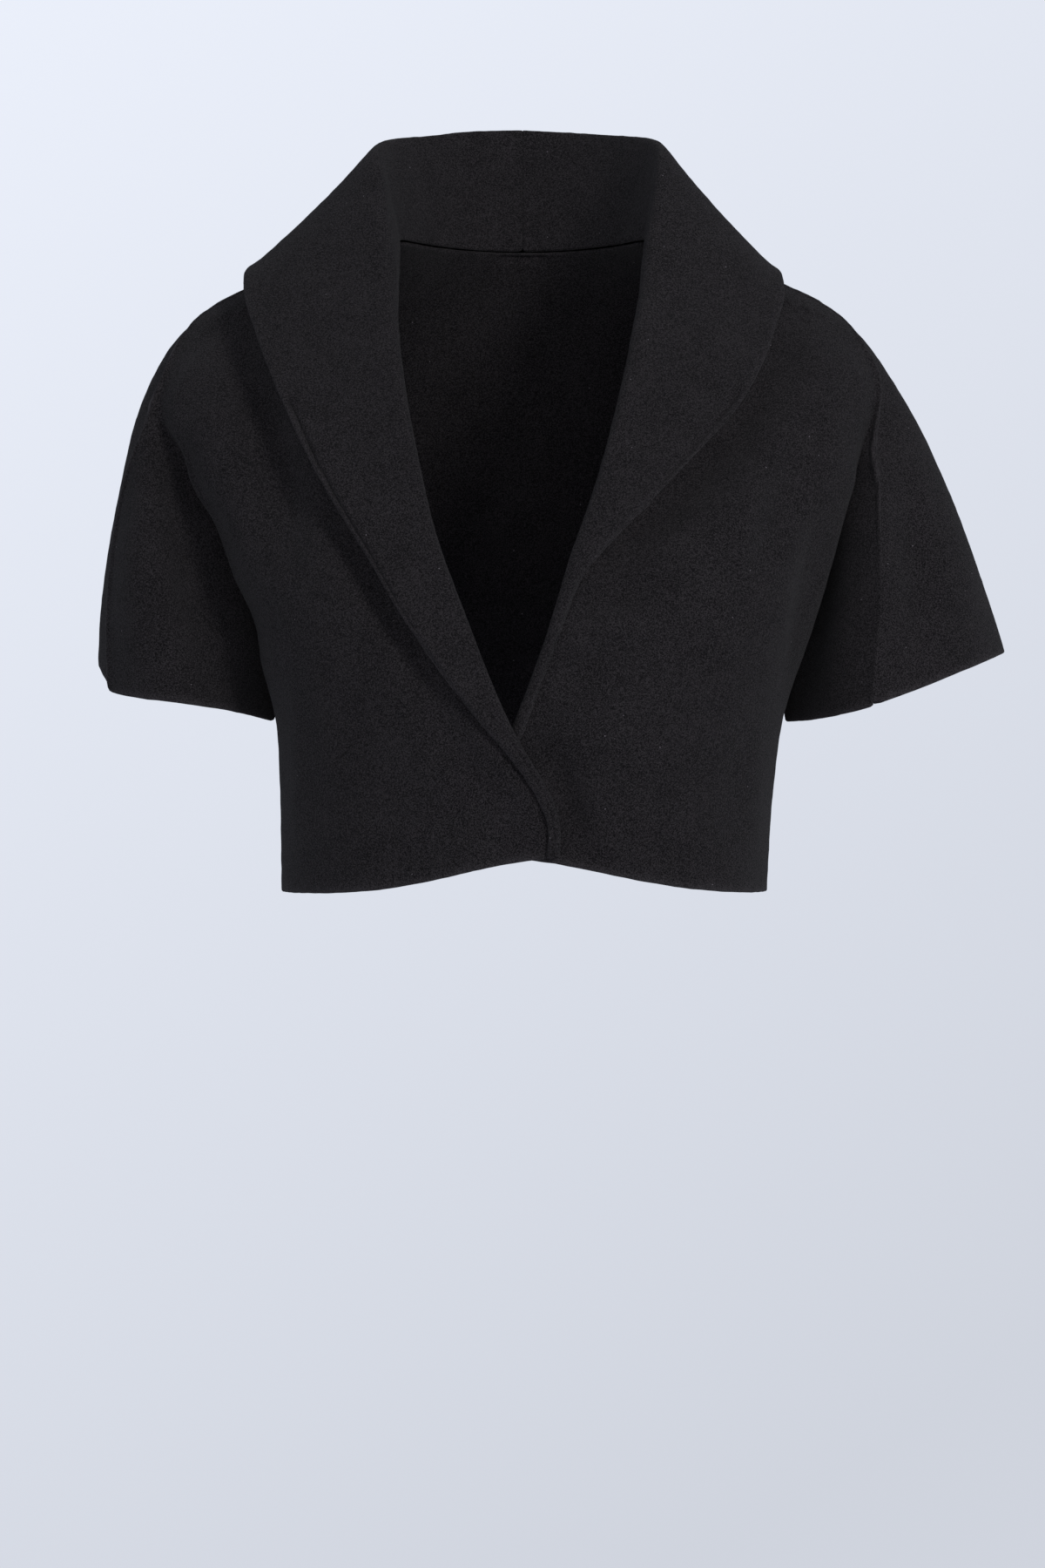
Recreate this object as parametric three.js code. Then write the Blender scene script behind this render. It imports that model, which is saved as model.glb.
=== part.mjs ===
// A cropped wool jacket with a wide rolled shawl collar. The short cape sleeves are cut in one with
// the fronts and the back, so a seam runs from the neck over the shoulder and down the arm, and
// another from the sleeve hem to the underarm and down the side.
// Millimetres. +Z is up, the fronts face -Y and +X is the wearer's left. The origin lies between the
// shoulders, level with the neck ends of the shoulder seams, where the wearer holds the jacket up.
import * as THREE from "three";

// Driving dimensions
const CLOTH = 2.6; // thickness of the panels
const COLLAR_CLOTH = 3.0; // the collar's two plies
const FACING_CLOTH = 1.6; // the single ply that the collar becomes down the front edge
const SEAM_GAP = 0.4; // between two pieces that are sewn edge to edge
const LAY_GAP = 0.5; // between a piece and the panel that it lies on
const NECK_HALF_WIDTH = 76;
const UNDERARM_Z = -250;
const UNDERARM_Y = 4;
const SLEEVE_HEM_Z = -291; // where the sleeve hem meets the underarm seam
const SIDE_HEM_Z = -393;
const BACK_HEM_RISE = [21, 0.3]; // the back hem's rise at the centre, and over what share of its width
const FOLD_TOP_Z = -98; // the armhole fold starts below this height
const FOLD_HOOK = 12; // how far the fold's valley turns in behind its crest
const SLEEVE_CLEARANCE = 4; // between the sleeve and the body at the sleeve hem
const LAP_LIFT = 7; // how far the upper front stands off the lower one where they overlap

// Heights at which the panels are cut across, from the neck down to the side hem
const UPPER_LEVELS = [
  0, -10, -22, -34, -48, -63, -80, -98, -116, -136, -157, -180, -204, -226, -240, UNDERARM_Z,
];
const SLEEVE_LEVELS = [...UPPER_LEVELS, -270, SLEEVE_HEM_Z];
const BODY_LEVELS = [...SLEEVE_LEVELS, -317, -343, -368, SIDE_HEM_Z];

// Steps across each stretch of a level
const STEPS = { chest: 7, fold: 3, sleeveFront: 5, sleeveOuter: 3, sleeveBack: 6 };
// Steps across the collar, from its seam to its outer edge
const COLLAR_STEPS = { stand: 4, roll: 4, fall: 5 };
const ROLL_SIZE = 12; // length of the stand and of the fall that go into the roll
const PAST_MIDDLE = 60; // how far past the middle a half of the collar may lie on the panels
const COLLAR_TILT = { back: 45, shoulder: 80, front: 90 }; // how steeply it leaves the panel, in degrees

// Rows of values under the names of their columns
function table(columns, rows) {
  const names = columns.split(" ");
  return rows.map((row) => Object.fromEntries(names.map((name, i) => [name, row[i]])));
}

// How far each line of the front lies before the origin, and of the back behind it. The middle lines
// cross at shares of the way out to the crest of the armhole fold.
const BUST_SHARE = 0.45;
const FLANK_SHARE = 0.8;
const SHOULDER_SHARE = 0.7; // the same of the way from the crest to the silhouette, above the fold
const FRONT_DEPTH = table("z centre bust flank crest", [
  [0, 30, 22, 10, 0],
  [-34, 51, 44, 31, 20],
  [-63, 67, 61, 46, 32],
  [-87, 79, 74, 58, 40],
  [-113, 91, 87, 69, 45],
  [-150, 104, 102, 82, 51],
  [-192, 116, 116, 95, 54],
  [-240, 124, 124, 102, 49],
  [-291, 126, 124, 99, 36],
  [-342, 122, 120, 94, 28],
  [-393, 117, 115, 89, 24],
]);
const BACK_DEPTH = table("z centre blade flank crest", [
  [0, 58, 48, 24, 0],
  [-34, 80, 72, 44, 20],
  [-63, 93, 87, 60, 34],
  [-87, 101, 97, 71, 46],
  [-113, 106, 103, 79, 55],
  [-150, 110, 109, 87, 63],
  [-192, 111, 110, 91, 65],
  [-240, 109, 108, 89, 57],
  [-291, 106, 104, 84, 40],
  [-342, 103, 100, 79, 30],
  [-393, 100, 97, 76, 26],
]);

// Each half of the jacket. Its sections give the distance from the middle of the silhouette, of the
// crest of the armhole fold and of the front edge, and how deep the sleeve is before and behind the
// arm. The hem rises by a height at the front edge, over a share of the front's width, and the sleeve
// hem has a height at each place round the arm. The over-arm seam crosses each height at a place round
// the arm, and below the shoulder it comes round to the front. The collar's rows give the place on the neck seam, the
// top of the roll and the outer edge: first with all their coordinates, then, down the front, with how
// far they stand out from the panel.
// The place on the seam is 0 at the centre back, 1 at the shoulder, and then 1 more for every 100 mm
// of height down the front edge.
const RIGHT = {
  sign: -1,
  lap: LAP_LIFT,
  hemRise: [22, 0.232],
  sleeveHem: [
    [0, SLEEVE_HEM_Z], [0.4, -286.5], [1, -280.5], [1.62, -274], [2, -257], [3, -268], [4, SLEEVE_HEM_Z],
  ],
  armFrontShare: 0.55,
  armBackShare: 0.5,
  overArmSeam: table("z place", [
    [-48, 2], [-62, 1.4], [-76, 0.84], [-90, 0.62], [-103, 0.64], [-116, 0.94], [-134, 1.4], [-156, 1.62],
    [SLEEVE_HEM_Z, 1.62],
  ]),
  onePly: { from: -240, to: -300 },
  sections: table("z side crest edge sleeveFront sleeveBack", [
    [0, 76, 76, 76, 0, 0],
    [-34, 177, 147, 77, 10, 10],
    [-63, 212, 180, 77, 16, 17],
    [-87, 225.5, 201, 75, 22, 25],
    [-113, 234.5, 209, 70.5, 30, 34],
    [-150, 243, 193.5, 63.2, 46, 52],
    [-192, 251, 177, 53, 60, 67],
    [-234, 256, 164, 37, 67, 74],
    [-269, 257, 153, 23.2, 71, 78],
    [-291, 259, 146.5, 12.4, 72, 80],
    [-319, 260, 145.5, -2.5, 72, 80],
    [-343, 260, 145, -16, 72, 80],
    [-393, 260, 144.5, -18, 72, 80],
  ]),
  collarAbove: table("seam rollX rollY rollZ edgeX edgeY edgeZ", [
    [0, 0, 73, 79, 0, 93, -38],
    [0.3, 34, 68, 77.5, 44, 91, -39],
    [0.58, 61, 49, 71, 92, 80, -40],
    [0.82, 82.5, 22, 64.5, 140, 50, -35],
    [1, 88.5, -4, 53, 164.5, 6, -18],
    [1.12, 86.5, -23, 29, 167, -20, -25],
    [1.26, 83, -41, -3, 165, -38, -41],
    [1.4, 79.5, -56, -34, 158, -54, -61],
  ]),
  collarBelow: table("seam rollX rollOut rollZ edgeX edgeOut edgeZ", [
    [1.58, 76.5, 11, -57, 150.5, 9, -81],
    [1.8, 73, 9.5, -82, 142.5, 7, -100],
    [2.05, 69, 8.5, -107, 131.5, 6, -124],
    [2.32, 63.5, 8, -134, 119, 5.5, -149],
    [2.6, 57.5, 8, -162, 104, 5, -174.5],
    [2.87, 50.5, 7.5, -188, 88, 5, -199.5],
    [3.09, 42.5, 7, -210, 75.5, 5, -222],
    [3.29, 35, 6.5, -229, 64, 4.8, -240],
    [3.49, 27.5, 6, -249, 51, 4.5, -257.5],
    [3.68, 20, 5, -268, 37.5, 4, -276],
    [3.85, 12.5, 4, -285, 25, 3.4, -292.5],
    [4.01, 5, 3.2, -301, 12.5, 2.8, -307],
    [4.17, -5, 2.8, -318, 0.5, 2.6, -322.5],
    [4.33, -15, 2.6, -334, -9.5, 2.5, -338],
    [4.51, -21, 2.6, -351.5, -15.5, 2.5, -354],
    [4.71, -20.5, 2.6, -371, -14.5, 2.5, -371],
  ]),
};
const LEFT = {
  sign: 1,
  lap: 0,
  hemRise: [22.5, 0.275],
  sleeveHem: [
    [0, SLEEVE_HEM_Z], [0.5, -290], [1, -283], [1.25, -271], [1.5, -259.5], [2, -247.5], [3, -264],
    [4, SLEEVE_HEM_Z],
  ],
  armFrontShare: 0.32,
  armBackShare: 0.5,
  overArmSeam: table("z place", [
    [-48, 2], [-62, 1.3], [-76, 0.76], [-92, 0.5], [-112, 0.46], [-150, 0.76], [-200, 0.93], [SLEEVE_HEM_Z, 1],
  ]),
  onePly: { from: -180, to: -222 },
  sections: table("z side crest edge sleeveFront sleeveBack", [
    [0, 76, 76, 76, 0, 0],
    [-34, 174, 145, 74, 10, 10],
    [-63, 209, 181, 69.5, 16, 17],
    [-87, 224.5, 201, 65.2, 22, 25],
    [-113, 240, 209, 58.8, 32, 35],
    [-150, 258.5, 197.5, 49, 47, 53],
    [-192, 275.5, 187, 35, 57, 63],
    [-234, 291.5, 175, 21, 63, 69],
    [-269, 303, 162.5, 7.8, 66, 72],
    [-291, 311, 154.5, -0.3, 68, 74],
    [-319, 312, 151.5, -10.5, 68, 74],
    [-343, 312, 149, -14.8, 68, 74],
    [-393, 312, 146.5, -16.5, 68, 74],
  ]),
  collarAbove: table("seam rollX rollY rollZ edgeX edgeY edgeZ", [
    [0, 0, 73, 79, 0, 93, -38],
    [0.3, 33, 68, 76.5, 43, 91, -39],
    [0.58, 58, 49, 71.5, 88, 80, -40],
    [0.82, 78, 22, 65.5, 132, 50, -35],
    [1, 84, -4, 54, 153.5, 6, -19.5],
    [1.12, 82, -24, 28, 156, -20, -26],
    [1.26, 76.5, -41, -4, 155.5, -38, -41],
    [1.4, 72.5, -55, -34, 149.5, -52, -58],
  ]),
  collarBelow: table("seam rollX rollOut rollZ edgeX edgeOut edgeZ", [
    [1.58, 67.5, 11, -58, 142, 9, -80],
    [1.8, 62.8, 9.5, -82, 130, 7, -103],
    [2.05, 57, 8.5, -106, 116, 6, -121.5],
    [2.3, 51, 8, -130, 97.5, 5.5, -141],
    [2.52, 45, 8, -152, 78, 5, -162],
    [2.73, 38, 7.5, -173, 59.5, 5, -179],
    [2.9, 32, 6.5, -190.5, 46, 4.6, -194],
    [3.05, 27, 5, -205, 34.8, 4, -207],
    [3.2, 22.3, 3.6, -220.5, 28, 3, -222.5],
    [3.4, 15.8, 2.9, -240.5, 21.2, 2.6, -243],
    [3.62, 8, 2.7, -262, 13.2, 2.5, -265],
    [3.84, 0.2, 2.7, -284, 5.2, 2.5, -287],
    [4.06, -9, 2.7, -306, -4.6, 2.5, -310],
    [4.28, -15, 2.7, -328, -9.8, 2.5, -330.5],
    [4.5, -18, 2.7, -350, -12.3, 2.5, -351],
    [4.7, -18.8, 2.7, -370, -13, 2.5, -370],
  ]),
};

const mix = (a, b, share) => a + (b - a) * share;
const clamp01 = (v) => Math.min(1, Math.max(0, v));
// 0 before a, 1 past b, and an even ease between them
function ease(a, b, v) {
  const s = clamp01((v - a) / (b - a));
  return s * s * (3 - 2 * s);
}

// A smooth value between the rows of a table whose key column runs steadily up or down
function read(rows, column, at, key = "z") {
  const way = Math.sign(rows[1][key] - rows[0][key]);
  let i = 0;
  while (i < rows.length - 2 && (at - rows[i + 1][key]) * way > 0) i += 1;
  const slope = (k) => {
    const a = rows[Math.max(0, k - 1)];
    const b = rows[Math.min(rows.length - 1, k + 1)];
    return (b[column] - a[column]) / (b[key] - a[key]);
  };
  const run = rows[i + 1][key] - rows[i][key];
  const s = clamp01((at - rows[i][key]) / run);
  const [a, b] = [rows[i][column], rows[i + 1][column]];
  return (
    a * (1 - s) ** 2 * (1 + 2 * s) +
    b * s * s * (3 - 2 * s) +
    run * (slope(i) * s * (1 - s) ** 2 - slope(i + 1) * s * s * (1 - s))
  );
}

// A smooth plane curve through points. A point's direction comes from its neighbours, or is pulled
// towards the heading given for it by a share from 0 to 1.
function curveThrough(points, headings = {}) {
  const apart = points.slice(1).map((p, i) => {
    return Math.max(1e-6, Math.hypot(p[0] - points[i][0], p[1] - points[i][1]));
  });
  const directions = points.map((p, i) => {
    const before = Math.max(0, i - 1);
    const after = Math.min(points.length - 1, i + 1);
    const [db, da] = [apart[before], apart[Math.min(i, apart.length - 1)]];
    const way = [0, 1].map((k) => {
      const rise = (points[i][k] - points[before][k]) / db;
      const run = (points[after][k] - points[i][k]) / da;
      if (i === 0) return run;
      if (i === points.length - 1) return rise;
      return (rise * da + run * db) / (da + db);
    });
    const h = headings[i];
    return h ? way.map((v, k) => mix(v, h.way[k], h.share)) : way;
  });
  return (t) => {
    const i = Math.min(points.length - 2, Math.max(0, Math.floor(t)));
    const s = t - i;
    return [0, 1].map(
      (k) =>
        points[i][k] * (1 - s) ** 2 * (1 + 2 * s) +
        points[i + 1][k] * s * s * (3 - 2 * s) +
        apart[i] * (directions[i][k] * s * (1 - s) ** 2 - directions[i + 1][k] * s * s * (1 - s)),
    );
  };
}

// Points evenly spaced along a stretch of a curve, both ends included
function spaced(curve, from, to, steps) {
  const fine = 16 * steps;
  const points = [];
  for (let i = 0; i <= fine; i += 1) points.push(curve(mix(from, to, i / fine)));
  const lengths = [0];
  for (let i = 1; i <= fine; i += 1) {
    const [p, q] = [points[i - 1], points[i]];
    lengths.push(lengths[i - 1] + Math.hypot(q[0] - p[0], q[1] - p[1]));
  }
  const result = [];
  for (let k = 0, i = 0; k <= steps; k += 1) {
    const goal = (lengths[fine] * k) / steps;
    while (i < fine - 1 && lengths[i + 1] < goal) i += 1;
    const run = lengths[i + 1] - lengths[i];
    const s = run > 1e-9 ? clamp01((goal - lengths[i]) / run) : 0;
    result.push([0, 1].map((c) => mix(points[i][c], points[i + 1][c], s)));
  }
  return result;
}

// Places on the front curve and on the sleeve curve, counted in their points
const CREST = 4;
const VALLEY = 5;
const OUTER_ARM = 2;

// The curves of one level of one half: the front from past the centre to the armhole fold, the
// sleeve round the arm, and the back from the fold to the centre.
function levelCurves(side, z) {
  const value = (column) => read(side.sections, column, z);
  const front = (column) => read(FRONT_DEPTH, column, z);
  const back = (column) => read(BACK_DEPTH, column, z);
  const [reach, crest] = [value("side"), value("crest")];
  const share = clamp01((z - FOLD_TOP_Z) / (UNDERARM_Z - FOLD_TOP_Z));
  const fold = (ease(0, 1, share) + 1 - Math.sqrt(1 - share * share)) / 2;
  const cusp = ease(UNDERARM_Z + 50, UNDERARM_Z, z);
  const closed = ease(UNDERARM_Z, SLEEVE_HEM_Z, z);
  const below = z < UNDERARM_Z;

  const foldX = crest - FOLD_HOOK * (1 - closed);
  const underX = crest + mix(-FOLD_HOOK, SLEEVE_CLEARANCE, closed);
  const shoulderX = mix(crest, reach, 0.4);
  const valleyX = mix(shoulderX, foldX, ease(0, 1, share * 2));
  const frontValley = [below ? foldX : valleyX, mix(-0.72 * front("crest"), UNDERARM_Y, fold)];
  const backValley = [below ? foldX : valleyX, mix(0.72 * back("crest"), UNDERARM_Y, fold)];
  const under = [underX, UNDERARM_Y];

  const along = { way: [0, 1], share: ease(0.05, 0.4, share) };
  const frontCurve = curveThrough(
    [
      [-BUST_SHARE * crest, -front("bust")],
      [0, -front("centre")],
      [BUST_SHARE * crest, -front("bust")],
      [FLANK_SHARE * crest, -front("flank")],
      [crest, -front("crest")],
      frontValley,
    ],
    { [CREST]: along, [VALLEY]: { way: [0, 1], share: cusp } },
  );
  const backCurve = curveThrough(
    [
      backValley,
      [crest, back("crest")],
      [FLANK_SHARE * crest, back("flank")],
      [BUST_SHARE * crest, back("blade")],
      [0, back("centre")],
    ],
    { 0: { way: [0, 1], share: cusp }, 1: along, 4: { way: [-1, 0], share: 1 } },
  );
  const lower = ease(FOLD_TOP_Z + 20, FOLD_TOP_Z - 60, z);
  const armFrontX = mix(crest, reach, mix(SHOULDER_SHARE, side.armFrontShare, lower));
  const armBackX = mix(crest, reach, mix(SHOULDER_SHARE, side.armBackShare, lower));
  const sleeveCurve = curveThrough(
    [
      below ? under : frontValley,
      [armFrontX, -value("sleeveFront")],
      [reach, UNDERARM_Y - 4],
      [armBackX, value("sleeveBack")],
      below ? under : backValley,
    ],
    {
      0: { way: [0.25, -0.97], share: cusp },
      2: { way: [0, 1], share: 1 },
      4: { way: [-0.25, -0.97], share: cusp },
    },
  );
  return { frontCurve, sleeveCurve, backCurve };
}

// The place on the sleeve curve where the over-arm seam crosses a level
function overArmSeam(side, z) {
  return read(side.overArmSeam, "place", z);
}

// How far the upper front is lifted, by its distance from the middle
function lapLift(side, x, z) {
  return side.lap * (1 - ease(18, 92, x)) * ease(-190, -292, z);
}

// The place on a front curve that lies at a distance from the middle
function placeAt(curve, x) {
  let [low, high] = [0, CREST];
  for (let i = 0; i < 40; i += 1) {
    const middle = (low + high) / 2;
    if (curve(middle)[0] < x) low = middle;
    else high = middle;
  }
  return (low + high) / 2;
}

// The columns of one level, from the front edge round to the centre back, by stretch
const levels = new Map();
function columnsAt(side, z) {
  const key = side.sign + ":" + z.toFixed(4);
  if (!levels.has(key)) {
    const { frontCurve, sleeveCurve, backCurve } = levelCurves(side, z);
    const edge = placeAt(frontCurve, read(side.sections, "edge", z));
    const seam = overArmSeam(side, z);
    const chest = spaced(frontCurve, edge, CREST, STEPS.chest);
    const fold = spaced(frontCurve, CREST, VALLEY, STEPS.fold).slice(1);
    const lifted = ([x, y]) => [x, y - lapLift(side, x, z)];
    levels.set(key, {
      front: [...chest, ...fold].map(lifted),
      sleeveFront: spaced(sleeveCurve, 0, seam, STEPS.sleeveFront),
      sleeveOuter: spaced(sleeveCurve, seam, OUTER_ARM, STEPS.sleeveOuter),
      sleeveBack: spaced(sleeveCurve, OUTER_ARM, 4, STEPS.sleeveBack),
      back: [...spaced(backCurve, 0, 1, STEPS.fold), ...spaced(backCurve, 1, 4, STEPS.chest).slice(1)],
    });
  }
  return levels.get(key);
}

// The height of a column at a level: the levels are spread so that the last lies on the hem
function columnHeight(side, stretch, share, z) {
  if (stretch === "front" || stretch === "back") {
    const [height, width] = stretch === "front" ? side.hemRise : BACK_HEM_RISE;
    const from = stretch === "front" ? share : 1 - share;
    const rise = height * (Math.exp(-((from / width) ** 2)) - Math.exp(-1 / width ** 2));
    return z + rise * ease(UNDERARM_Z, SIDE_HEM_Z, z);
  }
  const seam = overArmSeam(side, SLEEVE_HEM_Z);
  const ends = {
    sleeveFront: [0, seam],
    sleeveOuter: [seam, OUTER_ARM],
    sleeveBack: [OUTER_ARM, 4],
  }[stretch];
  const hem = hemCurve(side)(mix(ends[0], ends[1], share));
  const spread = (hem - FOLD_TOP_Z) / (SLEEVE_HEM_Z - FOLD_TOP_Z);
  return z > FOLD_TOP_Z ? z : FOLD_TOP_Z + (z - FOLD_TOP_Z) * spread;
}

// The sleeve hem's height by the place on the sleeve curve
function hemCurve(side) {
  const rows = side.sleeveHem.map(([place, height]) => ({ place, height }));
  return (place) => read(rows, "height", place, "place");
}

// A grid of points, a row for each level, over one stretch of one half
function stretchGrid(side, stretch) {
  const heights = stretch === "front" || stretch === "back" ? BODY_LEVELS : SLEEVE_LEVELS;
  const count = columnsAt(side, 0)[stretch].length;
  return heights.map((z) => {
    const row = [];
    for (let c = 0; c < count; c += 1) {
      const height = columnHeight(side, stretch, c / (count - 1), z);
      const [x, y] = columnsAt(side, height)[stretch][c];
      row.push(new THREE.Vector3(side.sign * x, y, height));
    }
    return row;
  });
}

// The whole outer face of the jacket's panels: points shared across seams, and triangles by panel
const net = { points: [], index: new Map(), faces: new Map() };
function pointIndex(p) {
  const key = [p.x, p.y, p.z].map((v) => Math.round(v * 1000)).join(",");
  if (!net.index.has(key)) {
    net.index.set(key, net.points.length);
    net.points.push(p.clone());
  }
  return net.index.get(key);
}
function addGrid(panel, grid, turned) {
  if (!net.faces.has(panel)) net.faces.set(panel, []);
  const faces = net.faces.get(panel);
  for (let r = 0; r + 1 < grid.length; r += 1) {
    for (let c = 0; c + 1 < grid[r].length; c += 1) {
      const [a, b, d, e] = [grid[r][c], grid[r][c + 1], grid[r + 1][c], grid[r + 1][c + 1]].map(pointIndex);
      const corners = turned ? [[a, b, d], [b, e, d]] : [[a, d, b], [b, d, e]];
      for (const f of corners) {
        if (f[0] !== f[1] && f[1] !== f[2] && f[2] !== f[0]) faces.push(f);
      }
    }
  }
}
for (const side of [RIGHT, LEFT]) {
  const turned = side === RIGHT;
  const front = side === RIGHT ? "front_right" : "front_left";
  addGrid(front, stretchGrid(side, "front"), turned);
  addGrid(front, stretchGrid(side, "sleeveFront"), turned);
  addGrid("back", stretchGrid(side, "sleeveOuter"), turned);
  addGrid("back", stretchGrid(side, "sleeveBack"), turned);
  addGrid("back", stretchGrid(side, "back"), turned);
}

// Outward directions at the points, from all the faces that meet there
function pointNormals(points, faces) {
  const normals = points.map(() => new THREE.Vector3());
  for (const face of faces) {
    const [a, b, c] = face.map((i) => points[i]);
    const way = b.clone().sub(a).cross(c.clone().sub(a)).normalize();
    face.forEach((i, k) => {
      const [p, q] = [points[face[(k + 1) % 3]], points[face[(k + 2) % 3]]];
      const angle = p.clone().sub(points[i]).angleTo(q.clone().sub(points[i]));
      normals[i].addScaledVector(way, angle);
    });
  }
  return normals.map((n) => n.normalize());
}

// A closed wall: an outer face, the same face moved in by a thickness at each point, and a rim
function wallGeometry(outer, inner, faces) {
  const used = [...new Set(faces.flat())];
  const place = new Map(used.map((v, i) => [v, i]));
  const count = used.length;
  const position = new Float32Array(count * 6);
  used.forEach((v, i) => {
    outer[v].toArray(position, i * 3);
    inner[v].toArray(position, (count + i) * 3);
  });
  const index = [];
  const edges = new Map();
  for (const face of faces) {
    const [a, b, c] = face.map((v) => place.get(v));
    index.push(a, b, c, count + a, count + c, count + b);
    for (const [p, q] of [[a, b], [b, c], [c, a]]) {
      if (!edges.delete(q + "," + p)) edges.set(p + "," + q, [p, q]);
    }
  }
  // Both sides of a seam split their rims the same way, so that they stay apart where the seam twists.
  for (const [p, q] of edges.values()) {
    if (used[p] < used[q]) index.push(q, p, count + q, p, count + p, count + q);
    else index.push(q, p, count + p, q, count + p, count + q);
  }
  const geometry = new THREE.BufferGeometry();
  geometry.setAttribute("position", new THREE.BufferAttribute(position, 3));
  geometry.setIndex(index);
  geometry.computeVertexNormals();
  return geometry;
}

const normals = pointNormals(net.points, [...net.faces.values()].flat());
// Under the arm the cloth arches over from the sleeve to the body, so its outer face looks down.
for (const side of [RIGHT, LEFT]) {
  const grid = stretchGrid(side, "front");
  const underarm = grid[UPPER_LEVELS.length - 1].at(-1);
  normals[pointIndex(underarm)].set(0, 0, -1);
}

// A panel's wall. Its border draws back by half of the seam gap, within the cloth.
function panelGeometry(faces) {
  const outer = net.points.map((p) => p.clone());
  const inner = net.points.map((p, i) => p.clone().addScaledVector(normals[i], -CLOTH));
  const borders = new Map();
  const count = new Map();
  for (const face of faces) {
    face.forEach((v, k) => {
      const pair = [v, face[(k + 1) % 3]].sort((a, b) => a - b).join(",");
      count.set(pair, (count.get(pair) || 0) + 1);
    });
  }
  for (const [pair, n] of count) {
    if (n === 1) pair.split(",").forEach((v) => borders.set(Number(v), new THREE.Vector3()));
  }
  for (const face of faces) {
    const middle = face.reduce((sum, v) => sum.add(net.points[v]), new THREE.Vector3()).divideScalar(3);
    for (const v of face) {
      if (borders.has(v)) borders.get(v).add(middle.clone().sub(net.points[v]).normalize());
    }
  }
  for (const [v, inwards] of borders) {
    inwards.addScaledVector(normals[v], -inwards.dot(normals[v])).normalize();
    outer[v].addScaledVector(inwards, SEAM_GAP / 2);
    inner[v].addScaledVector(inwards, SEAM_GAP / 2);
  }
  // Beside a seam on a sharp ridge the inner face is kept from reaching through to the next panel.
  for (const face of faces) {
    for (const v of face) {
      for (const b of face) {
        if (borders.has(v) || !borders.has(b)) continue;
        const reach = inner[v].clone().sub(net.points[b]).dot(borders.get(b));
        if (reach < SEAM_GAP) inner[v].addScaledVector(borders.get(b), SEAM_GAP - reach);
      }
    }
  }
  return wallGeometry(outer, inner, faces);
}

// The front face's y at a place of one half
function frontFaceY(side, x, z) {
  const { frontCurve } = levelCurves(side, z);
  return frontCurve(placeAt(frontCurve, x))[1] - lapLift(side, x, z);
}

// The neck seam of one half, from the centre back over the shoulder and down the front edge: its
// points, with the way out of the panel across the seam and the way off the panel's outer face
function neckSeam(side) {
  const backRow = stretchGrid(side, "back")[0].slice().reverse();
  const frontColumn = stretchGrid(side, "front").map((row) => row[0]);
  const line = [...backRow, ...frontColumn.slice(1)];
  const shoulder = backRow.length - 1;
  const lengths = [0];
  for (let i = 1; i < line.length; i += 1) lengths.push(lengths[i - 1] + line[i].distanceTo(line[i - 1]));
  const rows = line.map((point, i) => {
    const along = line[Math.min(line.length - 1, i + 1)].clone().sub(line[Math.max(0, i - 1)]).normalize();
    const off = normals[pointIndex(point)].clone();
    if (i === 0) off.setX(0).normalize();
    const out = along.clone().cross(off).multiplyScalar(side.sign).normalize();
    const seam = i <= shoulder ? lengths[i] / lengths[shoulder] : 1 - point.z / 100;
    return { seam, point, out, off };
  });
  for (let round = 0; round < 2; round += 1) {
    const before = rows.map(({ out, off }) => ({ out: out.clone(), off: off.clone() }));
    for (let i = 1; i + 1 < rows.length; i += 1) {
      for (const way of ["out", "off"]) {
        rows[i][way].add(before[i - 1][way]).add(before[i][way]).add(before[i + 1][way]).normalize();
      }
    }
  }
  return (at) => {
    let i = 0;
    while (i < rows.length - 2 && at > rows[i + 1].seam) i += 1;
    const s = clamp01((at - rows[i].seam) / (rows[i + 1].seam - rows[i].seam));
    const between = (name) => rows[i][name].clone().lerp(rows[i + 1][name], s);
    return { point: between("point"), out: between("out").normalize(), off: between("off").normalize() };
  };
}

// The collar's rows of one half, all with their coordinates
function collarRows(side) {
  const below = side.collarBelow.map((row) => ({
    ...row,
    rollY: frontFaceY(side, row.rollX, row.rollZ) - row.rollOut,
    edgeY: frontFaceY(side, row.edgeX, row.edgeZ) - row.edgeOut,
  }));
  return [...side.collarAbove, ...below];
}

// A point moved off the panels until it stands at least so far away from them
function clearOfPanels(point, distance, triangles) {
  const nearest = { distance: Infinity, at: new THREE.Vector3(), way: new THREE.Vector3() };
  const at = new THREE.Vector3();
  for (const { triangle, way } of triangles) {
    triangle.closestPointToPoint(point, at);
    const d = at.distanceTo(point);
    if (d < nearest.distance) {
      nearest.distance = d;
      nearest.at.copy(at);
      nearest.way.copy(way);
    }
  }
  const off = point.clone().sub(nearest.at);
  const height = off.dot(nearest.way) < 0 ? -nearest.distance : nearest.distance;
  if (height < distance) point.addScaledVector(nearest.way, distance - height);
  return point;
}

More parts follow.
